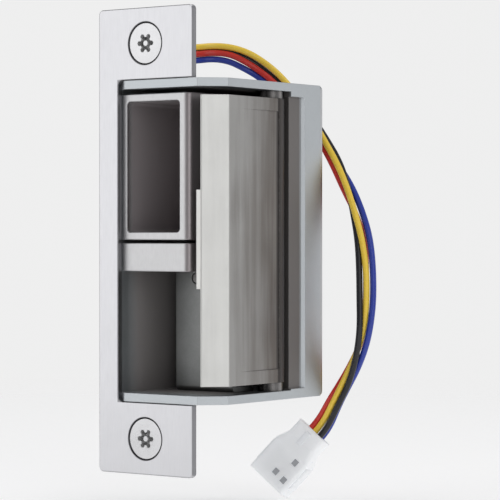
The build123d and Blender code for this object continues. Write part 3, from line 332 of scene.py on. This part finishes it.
def drive_stain(s, base):
    """Grey oxide left in the six-lobe drive."""
    return s.mix(drive_dull(s), base, (0.62, 0.62, 0.62))


def drive_dull(s):
    return s.maths("MULTIPLY", s.spread(s.axis("Y"), *DRIVE_MOUTH), s.spread(s.axis("Y"), *DRIVE_FLOOR))


def case_painted_shade(s, base):
    """Painted shade: dull and dark on the inner walls and the band beside the hinge, and darkest beside the
    hinge.
    """
    hinge_side = s.spread(s.axis("X"), *HINGE_SIDE)
    return s.mix(case_dull_and_shaded(s), base, s.mix(hinge_side, (0.38, 0.36, 0.355), (0.165, 0.153, 0.147)))


def case_dull_and_shaded(s):
    """1 on the inner walls, and on the band beside the hinge up to the bright bar, where the case is dull
    and carries painted shade.
    """
    across = s.maths("MULTIPLY", s.spread(s.axis("X"), *CASE_RIGHT_WALL),
                     s.spread(s.axis("X"), *CASE_LEFT_WALL))
    inner = s.maths("MULTIPLY", across, s.spread(s.axis("Y"), *CASE_FLANGE))
    band = s.maths("MULTIPLY", s.spread(s.axis("X"), *BAND_RIGHT), s.spread(s.axis("X"), *BAND_LEFT))
    span = s.maths("MULTIPLY", s.spread(s.axis("Y"), *BAND_FRONT), s.spread(s.axis("Y"), *BAND_BACK))
    inside = s.spread(s.maths("ABSOLUTE", s.axis("Z")), *CASE_END)
    return s.maths("MULTIPLY", s.maths("MAXIMUM", inner, s.maths("MULTIPLY", band, span)), inside)


MATERIALS = {
    "faceplate_steel": metal("satin_stainless", (0.66, 0.66, 0.68), 0.34, (1, 1, 0.06), 3500.0, 0.03,
                             wear=0.0, shade_reach=0.002, stain_and_shade=plate_painted_shade),
    "screw_steel": metal("plated_steel", (0.66, 0.66, 0.67), 0.3, mottle=0.08, shade_reach=0.0025, depth=0.3,
                         stain_and_shade=drive_stain, dull=drive_dull),
    "case_metal": metal("blasted_zinc", (0.55, 0.58, 0.6), 0.46, grain_scale=4500.0, mottle=0.05,
                        shade_reach=0.01, depth=0.3, stain_and_shade=case_painted_shade, dull=case_dull_and_shaded),
    "cover_steel": metal("cover_sheet", (0.55, 0.56, 0.57), 0.38, (0.06, 1, 1), 3000.0, 0.05),
    "insert_steel": metal("insert_satin", (0.56, 0.56, 0.565), 0.38, (1, 1, 0.2), 3000.0, 0.06,
                          shade_reach=0.008, depth=0.15, stain_and_shade=insert_painted_shade, dull=insert_dull_and_shaded),
    "latch_plate_zinc": metal("latch_zinc", (0.26, 0.265, 0.26), 0.42, grain_scale=1500.0, mottle=0.16,
                              depth=0.5),
    "keeper_metal": metal("keeper_cast", (0.5, 0.48, 0.46), 0.38, (1, 1, 0.25), 3000.0, 0.08,
                          depth=0.8, stain_and_shade=keeper_streaks_and_painted_light),
    # Painted shade: the pin and its bushes are made dark to match the shade in the hinge gap.
    "pin_steel": metal("ground_steel", (0.26, 0.25, 0.245), 0.3, (1, 1, 0.1), 3500.0, depth=0.85),
    "spring_steel": metal("spring_wire", (0.5, 0.5, 0.5), 0.3),
    "lever_steel": metal("lever_steel_blank", (0.5, 0.49, 0.47), 0.38),
    "yoke_zinc": metal("yoke_plated", (0.6, 0.6, 0.55), 0.35, mottle=0.12),
    "bobbin_plastic": plastic("bobbin_nylon", (0.6, 0.58, 0.5), 0.5),
    "coil_winding": winding("coil_copper"),
    "plunger_steel": metal("plunger_ground", (0.55, 0.55, 0.56), 0.25),
    "grommet_rubber": plastic("grommet_black", (0.03, 0.03, 0.03), 0.7, bump=0.3),
    "board_laminate": plastic("board_green", (0.05, 0.18, 0.08), 0.45),
    # Painted light: the nylon glows faintly with a cool white.
    "plug_nylon": plastic("plug_natural_nylon", (0.93, 0.94, 0.95), 0.3, edge=0.0006, subsurface_weight=0.6,
                          emission_color=(0.9, 0.93, 1.0), emission_strength=0.1,
                          subsurface_radius=(0.003, 0.003, 0.003), subsurface_scale=1.0),
    "plug_shade": plastic("plug_window_shade", (0.42, 0.43, 0.45), 0.4),
    "terminal_tin": metal("terminal_tinned", (0.7, 0.7, 0.68), 0.3),
    "wire_yellow": plastic("pvc_yellow", (0.95, 0.66, 0.07), 0.24),
    "wire_red": plastic("pvc_red", (0.66, 0.035, 0.025), 0.24),
    "wire_blue": plastic("pvc_blue", (0.025, 0.05, 0.36), 0.24),
    "wire_black": plastic("pvc_black", (0.012, 0.012, 0.016), 0.24),
}

for node in frame["nodes"].values():
    for place in node.material_slots:
        place.material = MATERIALS[place.material.name]


# -------------------------------------------------------------- frame screws
THREAD_PITCH = 25.4 / 24
THREAD_RADIUS = 2.74
THREAD_DEPTH = 0.62
SHANK_RADIUS = 2.5
SHANK_START = -1.1
THREAD_END = 13.5
LEAD_START, LEAD_END = 0.8, 1.3
TURN_STEPS = 40
ROWS = 118


def thread_radius(y, angle):
    """Radius in mm of a number 12-24 thread; the shank is plain in front of it and tapers at its end."""
    phase = (y / THREAD_PITCH - angle / math.tau) % 1.0
    groove = min(1.0, max(0.0, 1.25 * (1 - abs(2 * phase - 1)) - 0.12))
    start = min(1.0, max(0.0, y / LEAD_START))
    end = min(1.0, max(0.0, (THREAD_END - y) / LEAD_END))
    cut = SHANK_RADIUS + (THREAD_RADIUS - THREAD_DEPTH * groove - SHANK_RADIUS) * start
    return cut * (0.72 + 0.28 * end)


def screws_with_threads(node, height):
    """The CAD heads down to their shanks, and real threads behind them."""
    shape = bmesh.new()
    shape.from_mesh(node.data)
    shape.transform(node.matrix_world)
    bmesh.ops.bisect_plane(shape, geom=shape.verts[:] + shape.edges[:] + shape.faces[:],
                           plane_co=(0, SHANK_START * MM, 0), plane_no=(0, 1, 0), clear_outer=True)
    for side in (-1, 1):
        rows = []
        for step in range(ROWS + 1):
            y = SHANK_START + (THREAD_END - SHANK_START) * step / ROWS
            row = []
            for turn in range(TURN_STEPS):
                angle = math.tau * turn / TURN_STEPS
                radius = thread_radius(y, angle)
                row.append(shape.verts.new((radius * math.cos(angle) * MM, y * MM,
                                            (side * height + radius * math.sin(angle)) * MM)))
            rows.append(row)
        for near, far in zip(rows, rows[1:]):
            for turn in range(TURN_STEPS):
                after = (turn + 1) % TURN_STEPS
                face = shape.faces.new((near[turn], far[turn], far[after], near[after]))
                face.smooth = True
        shape.faces.new(rows[-1])
    bmesh.ops.recalc_face_normals(shape, faces=shape.faces)
    made = add_mesh("frame_screws_threaded", shape, MATERIALS["screw_steel"])
    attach(made, "strike")
    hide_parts("frame_screws")


screws_with_threads(frame["nodes"]["frame_screws"], SCREW_HEIGHT)


def working_spring(name):
    """A copy of a spring in spring steel, in place of the rigid one, which is hidden."""
    rigid = frame["nodes"][name]
    made = add_object(name + "_coil", rigid.data.copy())
    made.matrix_world = rigid.matrix_world.copy()
    made.data.materials.clear()
    made.data.materials.append(MATERIALS["spring_steel"])
    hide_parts(name)
    return made


plunger_coil = working_spring("plunger_spring")
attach(plunger_coil, "strike")
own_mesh(plunger_coil)

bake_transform(working_spring("keeper_spring"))


# ------------------------------------------------------------------- wires
WIRE_DIAMETER = 1.75
WIRE_ROUTES = {
    "wire_yellow": [
        (-8.6, 30, 29.4), (-15.4, 30, 29.4), (-24.8, 30, 28.9), (-32, 30, 36.7),
        (-31.6, 29.8, 47.4), (-24, 29.5, 54), (-10, 30.2, 54), (-6.3, 33.2, 54.5),
        (-4.1, 38.6, 54.4), (-1.7, 43.4, 53.1), (1.6, 46.6, 50.4), (6.1, 48, 46.6),
        (11.3, 48.4, 41.1), (16.1, 48.4, 35.1), (21, 48.2, 28), (25.5, 48, 21.5),
        (28.8, 48, 14.8), (31.5, 48, 7.7), (33.9, 48, 0.2), (35.2, 48, -8),
        (35.3, 48, -16.2), (34.4, 48.3, -23.1), (32.5, 48.8, -28.7), (29.2, 49.4, -34.6),
        (26.2, 49.6, -39.7), (23.2, 49.7, -44.7),
    ],
    "wire_black": [
        (-8.6, 32, 29.4), (-15.4, 32, 29.4), (-24.4, 32, 28.9), (-31.3, 32.1, 36),
        (-30.9, 32.1, 46.2), (-24, 31.7, 52.9), (-11, 31.7, 53.1), (-7.4, 34.7, 53.6),
        (-5.3, 40, 53.5), (-3.3, 44.5, 51.7), (-0.2, 47.6, 49.2), (4.2, 48.9, 45.6),
        (9.8, 49.7, 40.8), (15.2, 50.1, 35.2), (20.5, 50.1, 28.4), (25.1, 50, 21.9),
        (28, 49.7, 15), (30.1, 49.3, 7.5), (32.1, 48.5, 0), (33.5, 47.1, -8.1),
        (33.8, 46.8, -16.1), (34.2, 46.4, -22.9), (33.3, 46.9, -28.5), (30.9, 48.3, -34.9),
        (28, 49.5, -40.4), (25, 49.6, -45.3),
    ],
    "wire_red": [
        (-8.6, 30, 31.35), (-15.4, 30, 31.35), (-24, 30, 30.9), (-30.2, 30, 37.6),
        (-29.7, 29.8, 46.6), (-23.1, 29.3, 52), (-9.8, 30.3, 52.1), (-6.3, 33.2, 52.6),
        (-4.4, 38.4, 52.4), (-2.7, 42.9, 50.7), (0.2, 45.8, 48.2), (4.5, 47.1, 44.8),
        (9.3, 48, 39.7), (14.2, 48.8, 34.3), (19.3, 49, 27.5), (23.4, 49.1, 21),
        (25.9, 50.5, 14.5), (29.5, 51.3, 7.7), (33.1, 50.4, 0.4), (34.1, 49.6, -8),
        (34.2, 49.5, -16.2), (33.4, 49.9, -23.1), (31.5, 50.6, -28.7), (27.9, 51, -34.6),
        (24.7, 50.8, -39.5), (21.4, 50.5, -44.2),
    ],
    "wire_blue": [
        (-8.6, 32, 31.35), (-15.4, 32, 31.35), (-23.6, 32, 30.9), (-29.5, 31.8, 37.1),
        (-28.6, 31.4, 45.3), (-22.5, 30.3, 50.1), (-10.1, 31, 50.4), (-6.7, 33.8, 50.9),
        (-5.1, 38.8, 50.5), (-3.8, 43.1, 49), (-1, 45.9, 46.9), (3.1, 47.2, 43.7),
        (7.6, 48.7, 39), (12.6, 49.8, 33.8), (17.9, 50.2, 27.2), (23.2, 51.5, 21.6),
        (27.8, 51.8, 15.3), (32.2, 50.5, 8.3), (35.3, 49.8, 0.7), (36.6, 49.3, -7.9),
        (36.8, 49.1, -16.3), (36.2, 48.6, -23.3), (34.5, 48.9, -29.2), (30.7, 50.5, -35.4),
        (27, 51.4, -40.5), (23.8, 51.7, -45.5),
    ],
}
WIRE_ENTRIES = {
    "wire_yellow": (0.2, 0.5),
    "wire_black": (2.3, 1.15),
    "wire_red": (-1.6, -0.4),
    "wire_blue": (2.3, -1.05),
}
PLUG_ENTRY = Vector((17.2, 49.3, -53.3))
PLUG_AXIS = Vector((-0.5465, -0.4014, -0.735))
PLUG_SIDE = Vector((0.7591, 0.1332, -0.6371))
PLUG_FACE = PLUG_AXIS.cross(PLUG_SIDE)
LEAD_IN = 3.0


def plug_point(side, face, along):
    """A point in the plug's own axes: along its side, its face and its length."""
    return PLUG_ENTRY + PLUG_SIDE * side + PLUG_FACE * face + PLUG_AXIS * along


def plug_blocks(name, blocks, material, bevel):
    """Small blocks on the plug, each given as spans along its side, its face and its length."""
    shape = bmesh.new()
    for side, face, along in blocks:
        corners = [shape.verts.new(plug_point(s, f, a) * MM) for s in side for f in face for a in along]
        for loop in ((0, 1, 3, 2), (4, 6, 7, 5), (0, 4, 5, 1), (2, 3, 7, 6), (0, 2, 6, 4), (1, 5, 7, 3)):
            shape.faces.new([corners[i] for i in loop])
    bmesh.ops.recalc_face_normals(shape, faces=shape.faces)
    made = add_mesh(name, shape, MATERIALS[material])
    rounding = made.modifiers.new("rounding", "BEVEL")
    rounding.width = bevel * MM
    rounding.segments = 3
    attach(made, "strike")


PLUG_HALF_WIDTH, PLUG_HALF_DEPTH = 6.2, 4.3
NECK_HALF_DEPTH = 3.6
RIB_HALF_DEPTH, RIB_SPAN = 2.6, (9.0, 16.5)
WINDOW_HALF_WIDTH, WINDOW_HALF_LENGTH = 0.8, 0.9
plug_blocks("plug_ribs", [
    ((-0.9, 0.9), (NECK_HALF_DEPTH - 0.3, NECK_HALF_DEPTH + 0.3), (1.2, 5.6)),
    ((-PLUG_HALF_WIDTH - 0.5, -PLUG_HALF_WIDTH + 0.4), (-RIB_HALF_DEPTH, RIB_HALF_DEPTH), RIB_SPAN),
    ((PLUG_HALF_WIDTH - 0.4, PLUG_HALF_WIDTH + 0.5), (-RIB_HALF_DEPTH, RIB_HALF_DEPTH), RIB_SPAN),
], "plug_nylon", 0.3)
windows = []
for facing in (-1, 1):
    depths = sorted((facing * (PLUG_HALF_DEPTH - 0.3), facing * (PLUG_HALF_DEPTH + 0.03)))
    for side, along in ((3.1, 9.9), (0.7, 15.3), (4.0, 15.6)):
        windows.append(((side - WINDOW_HALF_WIDTH, side + WINDOW_HALF_WIDTH), depths,
                        (along - WINDOW_HALF_LENGTH, along + WINDOW_HALF_LENGTH)))
plug_blocks("plug_windows", windows, "plug_shade", 0.1)

for name, points in WIRE_ROUTES.items():
    side, face = WIRE_ENTRIES[name]
    route = [Vector(p) for p in points] + [plug_point(side, face, -LEAD_IN), plug_point(side, face, 0)]
    curve = bpy.data.curves.new(name + "_insulation", "CURVE")
    curve.dimensions = "3D"
    curve.bevel_depth = WIRE_DIAMETER / 2 * MM
    curve.bevel_resolution = 6
    curve.resolution_u = 16
    curve.use_fill_caps = True
    spline = curve.splines.new("NURBS")
    spline.points.add(len(route) - 1)
    for control, point in zip(spline.points, route):
        control.co = (*(point * MM), 1)
    spline.order_u = 3
    spline.use_endpoint_u = True
    curve.materials.append(MATERIALS[name])
    wire = add_object(name + "_insulation", curve)
    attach(wire, "strike")
    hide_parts(name)


# ------------------------------------------------------------------- studio
PALE = (0.855, 0.855, 0.855)
FLOOR_RADIUS, FLOOR_SIDES, FLOOR_GAP = 1.2, 96, 0.0005
FLOOR_FADE = (0.12, 0.6)
BACKDROP_RADIUS = 5.0
LAMPS_AIM = Vector((0, 0.02, 0))
CAMERA_PLACE = (0.384078, -0.480964, 0.002054)
AZIMUTH, ELEVATION = math.radians(36.291), math.radians(0.412)

world = bpy.data.worlds.new("studio")
world.use_nodes = True
world.node_tree.nodes["Background"].inputs["Color"].default_value = (0.9, 0.9, 0.92, 1)
world.node_tree.nodes["Background"].inputs["Strength"].default_value = 0.4
scene.world = world
scene.view_settings.view_transform = "Standard"

# The floor fades into the backdrop, so that no horizon shows.
pale_floor = Shader("pale_floor", base_color=(0.72, 0.72, 0.72), roughness=0.9, emission_color=PALE,
                    emission_strength=0.44)
clear = pale_floor.node("ShaderNodeBsdfTransparent")
radial = pale_floor.node("ShaderNodeVectorMath", operation="LENGTH")
pale_floor.join(pale_floor.place, radial.inputs[0])
fade = pale_floor.node("ShaderNodeMixShader")
pale_floor.join(pale_floor.spread(radial.outputs["Value"], *FLOOR_FADE), fade.inputs[0])
pale_floor.join(pale_floor.out.outputs[0], fade.inputs[1])
pale_floor.join(clear.outputs[0], fade.inputs[2])
pale_floor.join(fade.outputs[0], pale_floor.tree.nodes["Material Output"].inputs[0])

floor_mesh = bpy.data.meshes.new("floor")
turns = [math.tau * i / FLOOR_SIDES for i in range(FLOOR_SIDES)]
floor_mesh.from_pydata([(FLOOR_RADIUS * math.cos(turn), FLOOR_RADIUS * math.sin(turn), 0) for turn in turns],
                       [], [tuple(range(FLOOR_SIDES))])
floor_mesh.materials.append(pale_floor.material)
floor = add_object("floor", floor_mesh)
floor.location.z = cad_box[0][2] - FLOOR_GAP


def softbox(name, place, size, power):
    data = bpy.data.lights.new(name, "AREA")
    data.shape = "RECTANGLE"
    data.size, data.size_y = size
    data.energy = power
    lamp = add_object(name, data)
    lamp.location = place
    lamp.rotation_euler = (LAMPS_AIM - Vector(place)).to_track_quat("-Z", "Y").to_euler()
    lamp.visible_camera = False


softbox("front_left", (-0.62, -0.85, 0.18), (1.0, 1.2), 3.6)
softbox("front_right", (0.88, -0.5, 0.12), (0.7, 1.2), 2.4)
softbox("back_right", (0.62, 0.8, 0.0), (0.7, 1.2), 1.5)
softbox("top", (0.0, 0.1, 1.1), (0.9, 0.9), 4.5)

# The backdrop is seen by the camera alone; the surfaces reflect the world and the lamps.
dome = bmesh.new()
bmesh.ops.create_uvsphere(dome, u_segments=48, v_segments=24, radius=BACKDROP_RADIUS)
pale_backdrop = Shader("pale_backdrop", base_color=(0, 0, 0), roughness=1.0, emission_color=PALE,
                       emission_strength=1.0)
backdrop = add_mesh("backdrop", dome, pale_backdrop.material)
for ray in ("diffuse", "glossy", "transmission", "volume_scatter", "shadow"):
    setattr(backdrop, "visible_" + ray, False)

camera_data = bpy.data.cameras.new("photo_view")
camera_data.sensor_width = 36
camera_data.lens = 166.19
camera_data.clip_start = 0.01
camera = add_object("photo_view", camera_data)
look = Vector((-math.sin(AZIMUTH) * math.cos(ELEVATION), math.cos(AZIMUTH) * math.cos(ELEVATION),
               -math.sin(ELEVATION)))
camera.location = CAMERA_PLACE
camera.rotation_euler = look.to_track_quat("-Z", "Y").to_euler()
scene.camera = camera
